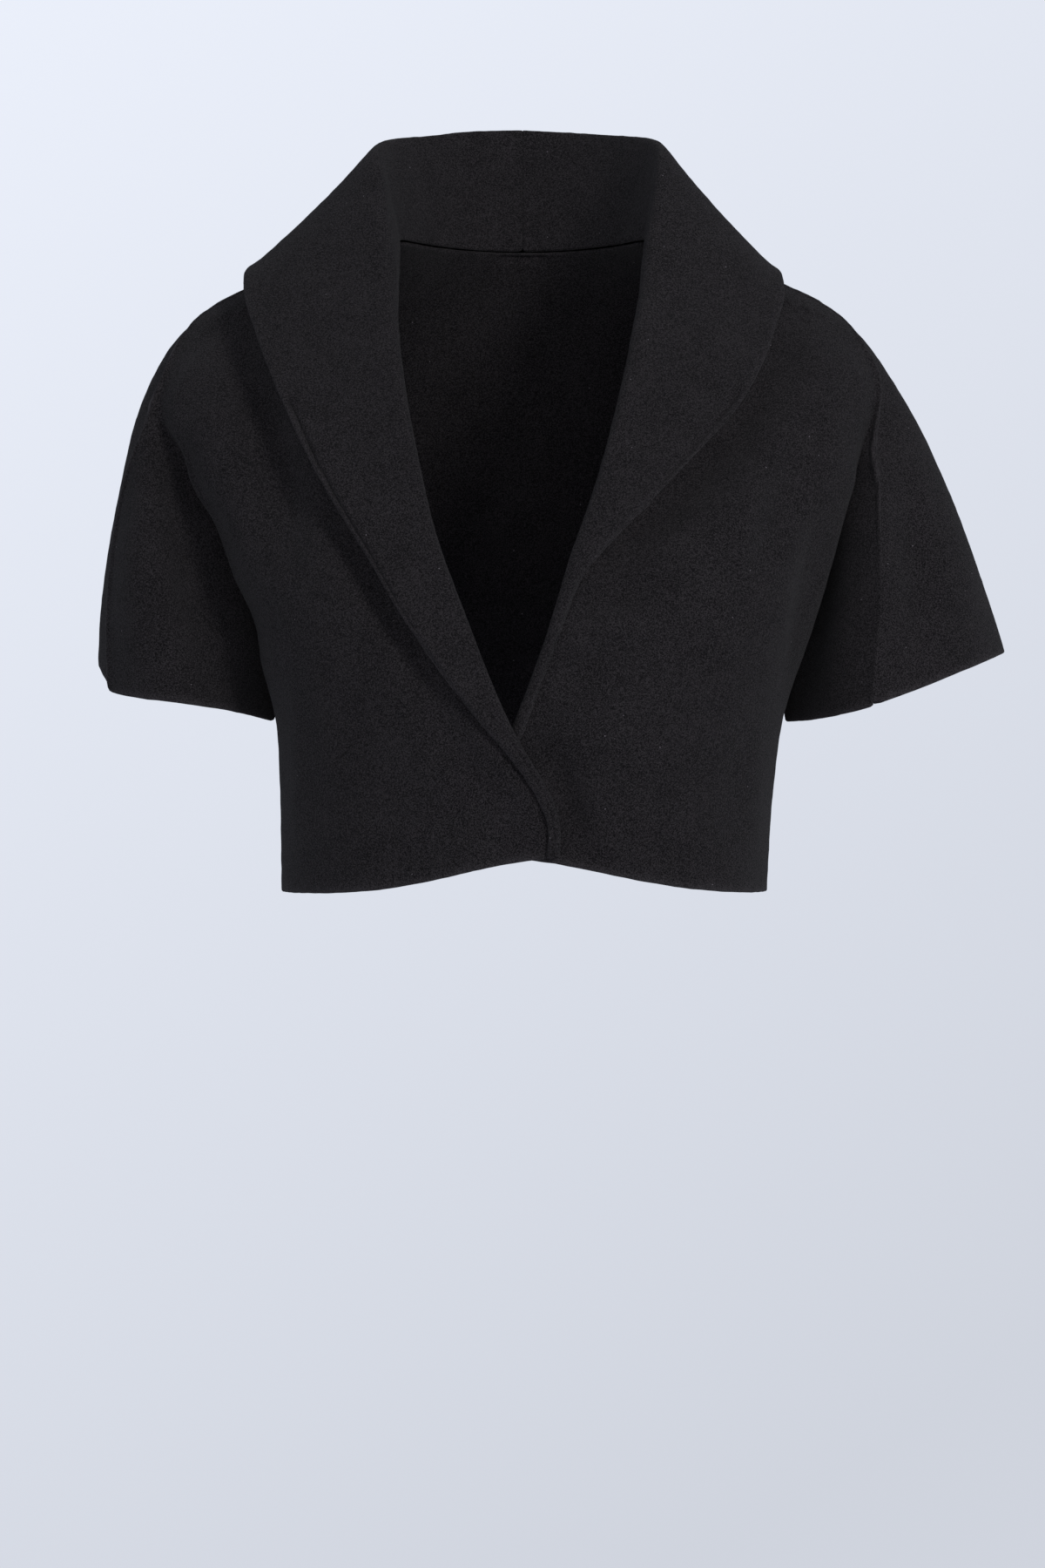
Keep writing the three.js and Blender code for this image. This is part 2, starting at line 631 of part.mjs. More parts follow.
// One half of the collar: its upper face is drawn section by section, from the neck side of the
// stand over the roll to the outer edge of the fall, and then given its thickness.
function collarGeometry(side) {
  const rows = collarRows(side);
  const seamAt = neckSeam(side);
  const near = (v) => net.points[v].x * side.sign > -PAST_MIDDLE;
  const panel = [...net.faces.values()].flat().filter((f) => f.every(near));
  const triangles = panel.map((face) => {
    const triangle = new THREE.Triangle(...face.map((v) => net.points[v]));
    return { triangle, way: triangle.getNormal(new THREE.Vector3()) };
  });
  const sections = [];
  for (let k = 0; k <= 2 * (rows.length - 1); k += 1) {
    const here = rows[Math.floor(k / 2)].seam;
    const seam = k % 2 ? (here + rows[(k + 1) / 2].seam) / 2 : here;
    const value = (column) => read(rows, column, seam, "seam");
    const thinning = ease(1 - side.onePly.from / 100, 1 - side.onePly.to / 100, seam);
    const ply = mix(COLLAR_CLOTH, FACING_CLOTH, thinning);
    const { point, out, off } = seamAt(seam);
    const tilt = THREE.MathUtils.degToRad(
      mix(COLLAR_TILT.back, COLLAR_TILT.shoulder, ease(0, 1, seam)) +
        (COLLAR_TILT.front - COLLAR_TILT.shoulder) * ease(1, 1.6, seam),
    );
    const seat = mix(LAY_GAP, -CLOTH, ease(1, 1.6, seam));
    const rise = out.clone().multiplyScalar(Math.cos(tilt)).addScaledVector(off, Math.sin(tilt));
    const across = out.clone().multiplyScalar(Math.sin(tilt)).addScaledVector(off, -Math.cos(tilt));
    const base = point.clone().addScaledVector(out, SEAM_GAP).addScaledVector(off, seat);
    base.addScaledVector(across, ply);
    const middle = k === 0 ? (side.sign * SEAM_GAP) / 2 : 0;
    const roll = new THREE.Vector3(side.sign * value("rollX") + middle, value("rollY"), value("rollZ"));
    const edge = new THREE.Vector3(side.sign * value("edgeX") + middle, value("edgeY"), value("edgeZ"));
    base.x += middle;

    const up = roll.clone().sub(base).normalize();
    const down = edge.clone().sub(roll).normalize();
    const size = Math.min(ROLL_SIZE, 0.65 * roll.distanceTo(base), 0.6 * edge.distanceTo(roll));
    const corner = roll.clone().addScaledVector(up, size / 4).addScaledVector(down, -size / 4);
    const rollStart = corner.clone().addScaledVector(up, -size);
    const rollEnd = corner.clone().addScaledVector(down, size);
    const stand = rollStart.distanceTo(base);
    const section = [];
    for (let i = 0; i < COLLAR_STEPS.stand; i += 1) {
      const s = i / COLLAR_STEPS.stand;
      const p = base.clone().multiplyScalar((1 - s) ** 2 * (1 + 2 * s));
      p.addScaledVector(rollStart, s * s * (3 - 2 * s));
      p.addScaledVector(rise, stand * s * (1 - s) ** 2).addScaledVector(up, -stand * s * s * (1 - s));
      section.push(p);
    }
    for (let i = 0; i < COLLAR_STEPS.roll; i += 1) {
      const s = i / COLLAR_STEPS.roll;
      const p = rollStart.clone().multiplyScalar((1 - s) ** 2);
      section.push(p.addScaledVector(corner, 2 * s * (1 - s)).addScaledVector(rollEnd, s * s));
    }
    for (let i = 0; i <= COLLAR_STEPS.fall; i += 1) {
      const p = rollEnd.clone().lerp(edge, i / COLLAR_STEPS.fall);
      section.push(clearOfPanels(p, ply + LAY_GAP, triangles));
    }
    if (k === 0) section.forEach((p) => p.setX(middle));
    sections.push({ section, ply });
  }
  const points = sections.flatMap(({ section }) => section);
  const plies = sections.flatMap(({ section, ply }) => section.map(() => ply));
  const across = sections[0].section.length;
  const faces = [];
  for (let r = 0; r + 1 < sections.length; r += 1) {
    for (let c = 0; c + 1 < across; c += 1) {
      const [a, d] = [r * across + c, (r + 1) * across + c];
      const [b, e] = [a + 1, d + 1];
      faces.push(...(side === RIGHT ? [[a, b, d], [b, e, d]] : [[a, d, b], [b, d, e]]));
    }
  }
  const ways = pointNormals(points, faces);
  for (let c = 0; c < across; c += 1) ways[c].setX(0).normalize();
  const under = points.map((p, i) => p.clone().addScaledVector(ways[i], -plies[i]));
  return wallGeometry(points, under, faces);
}

const WOOL = { color: 0x1f1d20, roughness: 0.95, metalness: 0 };
const jacket = new THREE.Group();
function addPiece(name, geometry) {
  const mesh = new THREE.Mesh(geometry, new THREE.MeshStandardMaterial(WOOL));
  mesh.name = name;
  jacket.add(mesh);
}
for (const [panel, faces] of net.faces) addPiece(panel, panelGeometry(faces));
addPiece("collar_right", collarGeometry(RIGHT));
addPiece("collar_left", collarGeometry(LEFT));

export default jacket;
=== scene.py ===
import math
import bpy
import numpy as np
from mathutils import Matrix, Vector
from mathutils.kdtree import KDTree


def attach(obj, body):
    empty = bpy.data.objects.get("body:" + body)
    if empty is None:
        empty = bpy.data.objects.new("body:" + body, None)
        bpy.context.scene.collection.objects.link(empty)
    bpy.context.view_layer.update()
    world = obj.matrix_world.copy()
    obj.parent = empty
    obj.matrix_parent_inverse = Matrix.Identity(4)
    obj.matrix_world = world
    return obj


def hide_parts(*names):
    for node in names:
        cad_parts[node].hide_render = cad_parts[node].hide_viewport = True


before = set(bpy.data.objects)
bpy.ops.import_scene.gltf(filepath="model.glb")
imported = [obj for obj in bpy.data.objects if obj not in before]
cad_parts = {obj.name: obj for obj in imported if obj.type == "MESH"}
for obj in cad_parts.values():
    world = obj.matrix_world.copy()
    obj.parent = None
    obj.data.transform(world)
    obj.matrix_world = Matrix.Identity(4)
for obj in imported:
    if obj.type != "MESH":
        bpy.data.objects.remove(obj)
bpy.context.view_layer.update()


# The camera
# It stands level with the lower part of the jacket, straight in front of the fronts, and its upright
# frame leaves much room below, so the jacket fills the upper half.
CAMERA_DISTANCE = 2.3
CAMERA_HEIGHT = -0.329
FRAME_PIXELS = 1800
PIXELS_PER_METRE = 1900
FRAME_HEIGHT = FRAME_PIXELS / PIXELS_PER_METRE
SENSOR_HEIGHT = 36
bpy.ops.object.select_all(action="DESELECT")
bpy.ops.object.camera_add(location=(0, -CAMERA_DISTANCE, CAMERA_HEIGHT), rotation=(math.radians(90), 0, 0))
camera = bpy.context.object
camera.data.sensor_width = SENSOR_HEIGHT
camera.data.lens = SENSOR_HEIGHT * CAMERA_DISTANCE / FRAME_HEIGHT
bpy.context.scene.camera = camera
bpy.context.scene.view_settings.view_transform = "Standard"


# The studio
# A pale floor far below the jacket, a pale blue-grey backdrop all round that is a little darker low
# down and to the right and gives most of the light, and two soft lamps in front: one from the
# wearer's left, a little above the shoulder, and a weak one low down.
FLOOR_HEIGHT = -1.35
FLOOR_RADIUS = 2.6
BACKDROP = (0.755, 0.79, 0.875, 1)
BACKDROP_GLOW = 0.38
bpy.ops.mesh.primitive_circle_add(
    vertices=96, radius=FLOOR_RADIUS, fill_type="NGON", location=(0, 0, FLOOR_HEIGHT)
)
floor = bpy.context.object
floor.name = "floor"
bpy.ops.object.transform_apply(location=True, rotation=False, scale=False)
pale = bpy.data.materials.new("pale_floor")
pale.use_nodes = True
pale.node_tree.nodes["Principled BSDF"].inputs["Base Color"].default_value = (0.62, 0.64, 0.7, 1)
pale.node_tree.nodes["Principled BSDF"].inputs["Roughness"].default_value = 0.9
floor.data.materials.append(pale)


class Shade:
    """A value in a material. Sums and products of such values add their Math nodes."""

    def __init__(self, tree, socket):
        self.tree = tree
        self.socket = socket

    def node(self, kind, settings=None, sockets=None, out=0):
        """Adds a node: its settings first, then the values or links of its sockets"""
        made = self.tree.nodes.new(kind)
        for name, value in (settings or {}).items():
            if name == "stops":
                for stop, (place, colour) in zip(made.color_ramp.elements, value):
                    stop.position = place
                    stop.color = colour
            else:
                setattr(made, name, value)
        for name, value in (sockets or {}).items():
            if isinstance(value, Shade):
                self.tree.links.new(value.socket, made.inputs[name])
            else:
                made.inputs[name].default_value = value
        return Shade(self.tree, made.outputs[out])

    def maths(self, operation, first, second):
        return self.node("ShaderNodeMath", {"operation": operation}, {0: first, 1: second})

    def __add__(self, other):
        return self.maths("ADD", self, other)

    def __radd__(self, other):
        return self.maths("ADD", other, self)

    def __sub__(self, other):
        return self.maths("SUBTRACT", self, other)

    def __rsub__(self, other):
        return self.maths("SUBTRACT", other, self)

    def __mul__(self, other):
        return self.maths("MULTIPLY", self, other)

    def __rmul__(self, other):
        return self.maths("MULTIPLY", other, self)

    def __lt__(self, other):
        return self.maths("LESS_THAN", self, other)

    def __gt__(self, other):
        return self.maths("GREATER_THAN", self, other)


# The backdrop is brighter than the light that it gives, so that its shade and the jacket's can both be set.
studio = bpy.data.worlds.new("studio")
studio.use_nodes = True
studio.node_tree.nodes.clear()
air = Shade(studio.node_tree, None)
direction = air.node("ShaderNodeTexCoord", out="Generated")
across = air.node("ShaderNodeSeparateXYZ", sockets={"Vector": direction}, out="X")
upward = air.node("ShaderNodeSeparateXYZ", sockets={"Vector": direction}, out="Z")
fall_off = air.node(
    "ShaderNodeMapRange",
    sockets={"Value": upward * 0.52 - across * 0.34, 1: -0.12, 2: 0.15, 3: 0.83, 4: 1.1},
)
seen = air.node("ShaderNodeLightPath", out="Is Camera Ray")
strength = fall_off * (seen * (1 - BACKDROP_GLOW) + BACKDROP_GLOW)
glow = air.node("ShaderNodeBackground", sockets={"Color": BACKDROP, "Strength": strength})
world_output = studio.node_tree.nodes.new("ShaderNodeOutputWorld")
studio.node_tree.links.new(glow.socket, world_output.inputs["Surface"])
bpy.context.scene.world = studio


def soft_lamp(name, place, size, power):
    bpy.ops.object.light_add(type="AREA", location=place)
    lamp = bpy.context.object
    lamp.name = name
    lamp.data.shape = "DISK"
    lamp.data.size = size
    lamp.data.energy = power
    aim = Vector((0, 0, -0.2)) - Vector(place)
    lamp.rotation_euler = aim.to_track_quat("-Z", "Y").to_euler()


soft_lamp("key_lamp", (1.4, -2.1, 0.6), 0.7, 19)
soft_lamp("low_lamp", (-0.1, -2.4, -0.9), 0.9, 5)


# The back
# The back panel of felted wool, cut in one with the backs of both sleeves. Its solid's outer face is
# taken as one layer, pressed into soft folds, and given the cloth's thickness with rounded edges.
# Lengths are in metres, but the lines of folds and pulls are in millimetres, as places (x, z).
CLOTH = 0.0026
EDGE = 0.0012
INNER_EDGE = EDGE * 1.6
EDGE_REACH = 0.0006
SEAM_REACH = 0.0025
ONE_PLY_SHARE = 0.6
SAME_PLACE = 1e-5


def outer_layer(node, name, towards):
    """The outer face of a panel's solid as one layer of quads. It grows from the face that lies furthest
    one way, as far as the sharp edges of the cut."""
    layer = bpy.data.objects.new(name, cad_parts[node].data.copy())
    bpy.context.scene.collection.objects.link(layer)
    layer.data.materials.clear()
    bpy.ops.object.select_all(action="DESELECT")
    layer.select_set(True)
    bpy.context.view_layer.objects.active = layer
    bpy.context.tool_settings.mesh_select_mode = (False, False, True)
    bpy.ops.mesh.customdata_custom_splitnormals_clear()
    bpy.ops.object.mode_set(mode="EDIT")
    bpy.ops.mesh.select_all(action="SELECT")
    bpy.ops.mesh.remove_doubles(threshold=SAME_PLACE)
    bpy.ops.mesh.select_all(action="DESELECT")
    bpy.ops.object.mode_set(mode="OBJECT")
    furthest = max(layer.data.polygons, key=lambda face: face.center.dot(Vector(towards)))
    furthest.select = True
    bpy.ops.object.mode_set(mode="EDIT")
    bpy.ops.mesh.faces_select_linked_flat(sharpness=math.radians(62))
    bpy.ops.mesh.select_all(action="INVERT")
    bpy.ops.mesh.delete(type="FACE")
    bpy.ops.mesh.select_all(action="SELECT")
    bpy.ops.mesh.tris_convert_to_quads(face_threshold=math.radians(60), shape_threshold=math.radians(75))
    bpy.ops.object.mode_set(mode="OBJECT")
    return layer


def smooth_out(piece, levels):
    """Subdivides a piece to a rounded surface that keeps the corners of its cut"""
    bpy.context.view_layer.objects.active = piece
    finer = piece.modifiers.new("finer", "SUBSURF")
    finer.boundary_smooth = "PRESERVE_CORNERS"
    finer.levels = levels
    finer.render_levels = levels
    bpy.ops.object.modifier_apply(modifier=finer.name)


def border_edges(piece):
    """The border edges of a piece, as pairs of point numbers, and the edges that lead inwards from them,
    with the border point first"""
    uses = {}
    for face in piece.data.polygons:
        for pair in face.edge_keys:
            uses[pair] = uses.get(pair, 0) + 1
    border = [pair for pair, count in uses.items() if count == 1]
    on_border = {point for pair in border for point in pair}
    inwards = [(a, b) if a in on_border else (b, a) for a, b in uses if (a in on_border) != (b in on_border)]
    return border, inwards


def turn_edges(piece):
    """Adds two narrow strips round a piece's border, which keep its edge firm, and pushes the border out
    until it meets the piece that it is sewn to"""
    bpy.context.view_layer.objects.active = piece
    bpy.ops.object.mode_set(mode="EDIT")
    bpy.ops.mesh.select_all(action="SELECT")
    bpy.ops.mesh.inset(thickness=EDGE, depth=0, use_boundary=True, use_even_offset=True)
    bpy.ops.mesh.inset(thickness=INNER_EDGE, depth=0, use_boundary=True, use_even_offset=False)
    bpy.ops.object.mode_set(mode="OBJECT")
    points = piece.data.vertices
    for outer, inner in border_edges(piece)[1]:
        points[outer].co += (points[outer].co - points[inner].co) * (EDGE_REACH / EDGE)
    piece.data.update()


LINE_STEPS = 6


def edge_line(piece, wanted):
    """The stretches of a piece's border where a test of the place and of the way out of the piece holds,
    as a tree that finds the nearest place on them"""
    border, inwards = border_edges(piece)
    points = piece.data.vertices
    way_out = {a: (points[a].co - points[b].co).normalized() for a, b in inwards}
    places = []
    for a, b in border:
        if a in way_out and wanted(points[a].co, way_out[a]):
            places += [points[a].co.lerp(points[b].co, step / LINE_STEPS) for step in range(LINE_STEPS)]
    tree = KDTree(len(places))
    for number, place in enumerate(places):
        tree.insert(place, number)
    tree.balance()
    return tree


NO_FADING = (-0.9, -1)
FADED_SHARE = 0.2
RIDGE_WIDTHS = 2.5


def share_above(height, fading):
    """How much of a seam's ridge is left at a height, where it fades from one height down to another"""
    return min(1, max(FADED_SHARE, (height - fading[1]) / (fading[0] - fading[1])))


def press_beside(piece, line, away, width, height, fading=NO_FADING):
    """Presses a ridge or a groove into a piece at a set distance from an edge line"""
    moved = []
    for point in piece.data.vertices:
        gap = (line.find(point.co)[2] - away) / width
        if abs(gap) < RIDGE_WIDTHS:
            rise = height * math.exp(-gap * gap) * share_above(point.co.z, fading)
            moved.append((point, point.normal * rise))
    for point, move in moved:
        point.co += move
    piece.data.update()


def paint_edge_highlight(piece, line, amount, width, fading=NO_FADING):
    """Paints a highlight into the cloth's colour along an edge line, for the light that the edge catches"""
    painted_highlight = piece.data.attributes.get("painted_highlight") or piece.data.attributes.new("painted_highlight", "FLOAT", "POINT")
    for point in piece.data.vertices:
        gap = line.find(point.co)[2] / width
        painted_highlight.data[point.index].value += amount * math.exp(-gap * gap) * share_above(point.co.z, fading)


FOLD_STEPS = 48
FOLD_SMOOTHING = 12


def press_folds(piece, folds, facing):
    """Moves a piece's points in or out beside each fold, on the side of the piece that faces a way. A
    fold is a line of places (x, z) with its half width and its height, and it fades out at both ends."""
    count = len(piece.data.vertices)
    places = np.zeros(count * 3)
    normals = np.zeros(count * 3)
    piece.data.vertices.foreach_get("co", places)
    piece.data.vertices.foreach_get("normal", normals)
    places = places.reshape(-1, 3) * 1000
    normals = normals.reshape(-1, 3)
    faces_that_way = np.clip((normals @ np.array(facing)) * 2.5, 0, 1)
    push = np.zeros(count)
    for line, width, height in folds:
        line = np.array(line, float)
        lengths = np.append(0, np.cumsum(np.hypot(*np.diff(line, axis=0).T)))
        along = np.linspace(0, lengths[-1], FOLD_STEPS)
        line = np.stack([np.interp(along, lengths, line[:, 0]), np.interp(along, lengths, line[:, 1])], 1)
        for _ in range(FOLD_SMOOTHING):
            line[1:-1] = (line[:-2] + 2 * line[1:-1] + line[2:]) / 4
        gaps = np.hypot(places[:, None, 0] - line[:, 0], places[:, None, 2] - line[:, 1])
        nearest = gaps.argmin(axis=1)
        fade = np.sin(np.pi * (nearest + 0.5) / FOLD_STEPS) ** 0.7
        push += height * np.exp(-((gaps[np.arange(count), nearest] / width) ** 2)) * fade
    places += normals * (push * faces_that_way)[:, None]
    piece.data.vertices.foreach_set("co", (places / 1000).ravel())
    piece.data.update()


FRONT_FROM = 8
FRONT_DEPTH = 18


def pull_points(piece, pulls, only_in_front=False):
    """Pulls the cloth sideways or up round each place (x, z), as far as a reach, and where it says so
    only the cloth in front, more and more over a short depth"""
    moved = []
    for point in piece.data.vertices:
        share = min(1, max(0, (-point.co.y * 1000 - FRONT_FROM) / FRONT_DEPTH)) if only_in_front else 1
        for x, z, reach, sideways, up in pulls:
            away = math.hypot(point.co.x - x / 1000, point.co.z - z / 1000) / (reach / 1000)
            if away < 1:
                moved.append((point, Vector((sideways, 0, up)) * (share * (1 - away**2) ** 2 / 1000)))
    for point, move in moved:
        point.co += move
    piece.data.update()


FELTING = bpy.data.textures.new("felting", "CLOUDS")
FELTING.noise_scale = 0.007
FELTING.noise_depth = 1
FELTING_RELIEF = 0.0005


def give_thickness(piece, thickness):
    """Thickens a layer inwards, rounds its edges and makes its face slightly uneven, as felt is"""
    bpy.context.view_layer.objects.active = piece
    wall = piece.modifiers.new("wall", "SOLIDIFY")
    wall.thickness = thickness
    wall.offset = -1
    wall.vertex_group = "one_ply" if "one_ply" in piece.vertex_groups else ""
    wall.thickness_vertex_group = ONE_PLY_SHARE
    wall.invert_vertex_group = True
    bpy.ops.object.modifier_apply(modifier=wall.name)
    smooth_out(piece, 1)
    uneven = piece.modifiers.new("uneven", "DISPLACE")
    uneven.texture = FELTING
    uneven.texture_coords = "LOCAL"
    uneven.strength = FELTING_RELIEF
    bpy.ops.object.modifier_apply(modifier=uneven.name)
    piece.data.polygons.foreach_set("use_smooth", [True] * len(piece.data.polygons))


WOOL_SHADES = [(0.445, (0.006, 0.0054, 0.0062, 1)), (0.575, (0.044, 0.0392, 0.0424, 1))]
LINT = (0.2, 0.18, 0.2, 1)
# The pale colour of the painted highlight along seams, hems and the collar's edge
HIGHLIGHT_PAINT = (0.11, 0.1, 0.108, 1)
NAP_RELIEF = 0.0008
SPECK_CELLS = 190


def felted_wool(name):
    """Black wool whose short nap is felted into small clumps, with pale specks caught in it. A highlight is
    painted into its colour from a point attribute, for the light that seams, hems and the collar's edge
    catch."""
    material = bpy.data.materials.new(name)
    material.use_nodes = True
    tree = material.node_tree
    tree.nodes.clear()
    start = Shade(tree, None)
    place = start.node("ShaderNodeTexCoord", out="Object")
    clumps = start.node(
        "ShaderNodeTexNoise", sockets={"Vector": place, "Scale": 1150, "Detail": 2, "Roughness": 0.6}
    )
    patches = start.node(
        "ShaderNodeTexNoise", sockets={"Vector": place, "Scale": 45, "Detail": 2, "Roughness": 0.5}
    )
    hairs = start.node(
        "ShaderNodeTexNoise", sockets={"Vector": place, "Scale": 2300, "Detail": 1, "Roughness": 0.7}
    )
    nap = clumps * 0.6 + hairs * 0.4
    mottle = nap * 0.93 + patches * 0.07
    wool = start.node("ShaderNodeValToRGB", {"stops": WOOL_SHADES}, {"Fac": mottle})
    cells = {"Vector": place, "Scale": SPECK_CELLS}
    speck_cell = start.node("ShaderNodeTexVoronoi", sockets=cells, out="Distance")
    speck_pick = start.node("ShaderNodeTexVoronoi", sockets=cells, out="Color")
    speck_red = start.node("ShaderNodeSeparateColor", sockets={"Color": speck_pick}, out="Red")
    specks = (speck_cell < 0.07) * (speck_red > 0.93)
    colour = start.node(
        "ShaderNodeMix",
        {"data_type": "RGBA"},
        {"Factor": specks, "A": wool, "B": LINT},
        out="Result",
    )
    # Painted highlight: the colour is mixed towards the pale highlight colour where the point attribute is
    # set, broken up by the nap
    painted_highlight = start.node("ShaderNodeAttribute", {"attribute_name": "painted_highlight"}, out="Fac")
    colour = start.node(
        "ShaderNodeMix",
        {"data_type": "RGBA"},
        {"Factor": painted_highlight * nap * 1.6, "A": colour, "B": HIGHLIGHT_PAINT},
        out="Result",
    )
    relief = start.node("ShaderNodeBump", sockets={"Strength": 1, "Distance": NAP_RELIEF, "Height": nap})
    surface = start.node(
        "ShaderNodeBsdfPrincipled",
        sockets={
            "Base Color": colour,
            "Roughness": 0.95,
            "Specular IOR Level": 0.12,
            "Sheen Weight": 0.06,
            "Sheen Roughness": 0.45,
            "Normal": relief,
        },
    )
    material_output = tree.nodes.new("ShaderNodeOutputMaterial")
    tree.links.new(surface.socket, material_output.inputs["Surface"])
    return material


WOOL = felted_wool("black_felted_wool")
TO_FRONT = (0, -1, 0)
TO_BACK = (0, 1, 0)

back = outer_layer("back", "back_cloth", TO_BACK)
smooth_out(back, 2)
turn_edges(back)
BACK_FOLDS = [
    ([(-125, -110), (-112, -180), (-95, -260)], 13, -4),
    ([(118, -105), (104, -170), (88, -245)], 12, -3.6),
    ([(-60, -56), (-105, -92), (-145, -128)], 12, -2.8),
    ([(56, -58), (104, -90), (150, -132)], 13, -3),
    ([(-30, -190), (-42, -280), (-46, -385)], 16, -2.8),
    ([(38, -205), (50, -300), (50, -388)], 15, -2.4),
    ([(-86, -240), (-82, -380)], 12, 1.6),
    ([(205, -130), (222, -200), (234, -262)], 11, -2.6),
    ([(-196, -130), (-214, -200), (-222, -258)], 11, -2.4),
]
# On the left sleeve the back passes over the arm to the front. There the back and the left front are
# folded and pulled alike, so that their seam stays closed.
SLEEVE_FOLDS = [
    ([(228, -135), (234, -200), (237, -275)], 10, -7.5),
    ([(252, -150), (262, -200), (270, -255)], 10, 2.6),
]
SLEEVE_SEAM_PULL = [(217, -120, 40, -10, 0)]
pull_points(back, SLEEVE_SEAM_PULL, only_in_front=True)
press_folds(back, BACK_FOLDS, TO_BACK)
press_folds(back, SLEEVE_FOLDS, TO_FRONT)
# On the right sleeve the back's hem is a little higher than the front's where they meet.
RIGHT_HEM_PULL = [(-254, -272, 24, 0, 5)]
pull_points(back, RIGHT_HEM_PULL)


def finish_cloth(piece, node, thickness):
    """Gives a shaped layer its thickness and wool, and puts it in the place of its solid"""
    give_thickness(piece, thickness)
    piece.data.materials.append(WOOL)
    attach(piece, "root")
    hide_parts(node)


# The right front
# The wearer's right front with the front of its sleeve. It laps over the left front at the hem. It
# sinks in beside the collar, and its sleeve falls away behind the fold that runs down from the arm.
RIGHT_FRONT_FOLDS = [
    ([(-176, -45), (-166, -80), (-152, -115), (-143, -147), (-138, -178), (-136, -206)], 17, -15),
    ([(-126, -140), (-104, -184), (-76, -232), (-46, -284)], 12, -8),
    ([(-66, -262), (-48, -292), (-30, -322), (-18, -350), (-14, -372)], 11, -4),
    ([(-210, -118), (-203, -156), (-191, -206), (-181, -280)], 17, -9.5),
    ([(-231, -165), (-230, -215), (-227, -268)], 10, 3),
    ([(-131, -262), (-132, -320), (-133, -376)], 5, 1.6),
    ([(-143, -270), (-142, -330), (-141, -380)], 6, -1.2),
    ([(-112, -205), (-118, -260), (-116, -330)], 12, 1.8),
    ([(-84, -290), (-74, -345), (-72, -385)], 14, -1.6),
]
RIGHT_ARM_PULLS = [(-188, -152, 24, -4, 0), (-162, -233, 30, 4, 0)]
front_right = outer_layer("front_right", "front_right_cloth", (-0.5, -1, 0))
smooth_out(front_right, 2)
turn_edges(front_right)
press_folds(front_right, RIGHT_FRONT_FOLDS, TO_FRONT)
pull_points(front_right, RIGHT_ARM_PULLS)


# The left front
# The wearer's left front with the front of its sleeve, under the right front at the hem. Soft folds
# fan out from the closure towards the shoulder, and a trough runs down beside the sleeve.
LEFT_FRONT_FOLDS = [
    ([(166, -40), (150, -82), (130, -112), (106, -142), (80, -166), (58, -190), (42, -214)], 18, -15),
    ([(137, -146), (131, -175), (124, -206)], 7, 3.4),
    ([(163, -136), (152, -170), (138, -206)], 10, -5),
    ([(184, -106), (168, -130), (150, -152)], 10, -3.4),
    ([(28, -226), (60, -221), (92, -212)], 9, -5.5),
    ([(22, -252), (48, -242), (68, -230)], 9, 2.8),
    ([(16, -280), (40, -262), (62, -244)], 9, -4.6),
    ([(6, -300), (22, -330), (38, -380)], 9, -9),
    ([(137, -288), (137, -330), (135, -374)], 6, 1.6),
    ([(124, -300), (122, -340), (120, -378)], 8, -1.2),
    ([(180, -160), (174, -195), (168, -238), (163, -282)], 12, -9),
    ([(206, -126), (205, -140)], 8, 2.5),
]
front_left = outer_layer("front_left", "front_left_cloth", (0.5, -1, 0))
smooth_out(front_left, 2)
turn_edges(front_left)
pull_points(front_left, SLEEVE_SEAM_PULL, only_in_front=True)
press_folds(front_left, LEFT_FRONT_FOLDS + SLEEVE_FOLDS, TO_FRONT)

# Seam allowances are pressed to the front, so the ridge of each seam lies on the fronts. On the left the
# ridges are pressed flatter low down, and their painted highlight fades there too. A highlight is painted
# into the colour along the seams and hems, for the light that their raised edges catch.
FRONT_SEAM_RIDGE = 0.0018
BACK_SEAM_RIDGE = 0.0003
RIGHT_SEAM_HIGHLIGHT = 0.9
LEFT_SEAM_HIGHLIGHT = 0.35
LEFT_SEAM_FADING = (-0.14, -0.22)
HEM_HIGHLIGHT = 0.3
HEM_HIGHLIGHT_WIDTH = 0.003
for front, seam_highlight, fading in (
    (front_right, RIGHT_SEAM_HIGHLIGHT, NO_FADING),
    (front_left, LEFT_SEAM_HIGHLIGHT, LEFT_SEAM_FADING),
):
    for piece, other, height, highlight in (
        (front, back, FRONT_SEAM_RIDGE, seam_highlight),
        (back, front, BACK_SEAM_RIDGE, seam_highlight / 2),
    ):
        partner = edge_line(other, lambda place, way: True)
        seam = edge_line(piece, lambda place, way: partner.find(place)[2] < SEAM_REACH)
        press_beside(piece, seam, EDGE * 1.1, EDGE * 1.2, height, fading)
        paint_edge_highlight(piece, seam, highlight, EDGE * 1.3, fading)
for panel in (back, front_right, front_left):
    hem = edge_line(panel, lambda place, way: way.z < -0.8)
    paint_edge_highlight(panel, hem, HEM_HIGHLIGHT, HEM_HIGHLIGHT_WIDTH)
finish_cloth(back, "back", CLOTH)
finish_cloth(front_right, "front_right", CLOTH)
finish_cloth(front_left, "front_left", CLOTH)

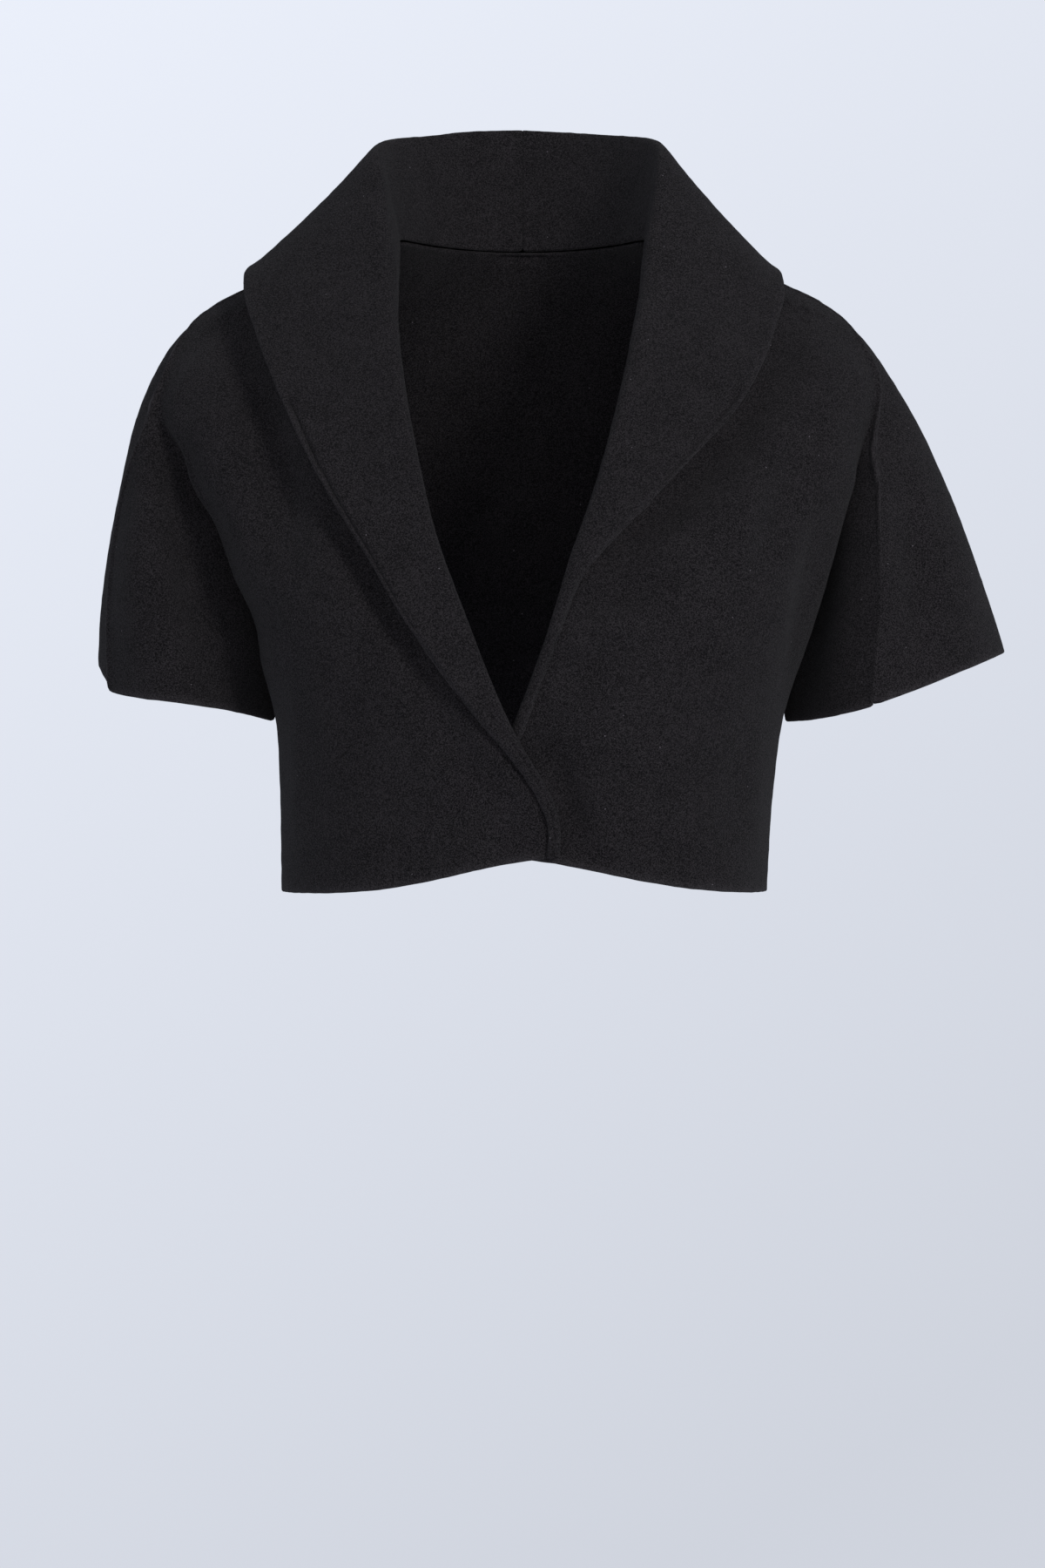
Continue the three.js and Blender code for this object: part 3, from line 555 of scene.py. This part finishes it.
# Beside the collar's band the turned edge stands up as a second, softer ridge.
RIGHT_BAND_RIDGE = [(-36, -290), (-14, -317), (3, -337), (9, -355), (10, -378)]
LEFT_BAND_RIDGE = [(38, -208), (26, -232), (14, -262)]
press_folds(front_right, [(RIGHT_BAND_RIDGE, 3.2, 1.5)], TO_FRONT)
press_folds(front_left, [(LEFT_BAND_RIDGE, 3, 1.3)], TO_FRONT)


# The shawl collar
# Two halves in two plies of the same wool, joined at the centre back. Each rises from the neck, rolls
# over the shoulder and runs down the front edge to the hem as a band of one ply. The seam allowance
# inside rounds its outer edge, and low down a row of stitching sinks in beside the front edge.
COLLAR_CLOTH = 0.0028
COLLAR_EDGE_HIGHLIGHT = 0.1
COLLAR_EDGE_HIGHLIGHT_WIDTH = 0.0025
RIGHT_ROLL = [(-152, -55), (-144, -100), (-118, -150), (-88, -200), (-56, -250), (-22, -300)]
LEFT_ROLL = [(150, -55), (133, -100), (90, -150), (38, -200), (17, -250)]
RIGHT_STITCHING = [(-24, -284), (-8, -303), (3, -319), (12, -333), (16.5, -346), (18, -362), (17.5, -378)]
LEFT_STITCHING = [(44, -184), (37, -200), (28, -225), (19, -250), (10, -275), (1, -300)]
for name, way, one_ply_from, one_ply_to, flat_area, roll, stitching in [
    ("collar_right", -1, -0.24, -0.3, 0.057, RIGHT_ROLL, RIGHT_STITCHING),
    ("collar_left", 1, -0.18, -0.222, 0.051, LEFT_ROLL, LEFT_STITCHING),
]:
    collar = outer_layer(name, name + "_cloth", (way * 0.6, 0, 1))
    smooth_out(collar, 2)
    turn_edges(collar)
    press_folds(collar, [(roll, 15, 3.6)], TO_FRONT)
    outer_edge = edge_line(collar, lambda place, out: out.x * way > 0.1 and out.y < 0.6 and place.z < 0.03)
    press_beside(collar, outer_edge, 0.0035, 0.003, 0.0012)
    # A highlight is painted into the colour along the collar's outer edge, for the light that its rounded
    # edge catches
    paint_edge_highlight(collar, outer_edge, COLLAR_EDGE_HIGHLIGHT, COLLAR_EDGE_HIGHLIGHT_WIDTH)
    one_ply = collar.vertex_groups.new(name="one_ply")
    for point in collar.data.vertices:
        share = (one_ply_from - point.co.z) / (one_ply_from - one_ply_to)
        one_ply.add([point.index], min(1, max(0, share)), "REPLACE")
    finish_cloth(collar, name, COLLAR_CLOTH)
    press_folds(collar, [(stitching, 1.1, -1.4)], TO_FRONT)
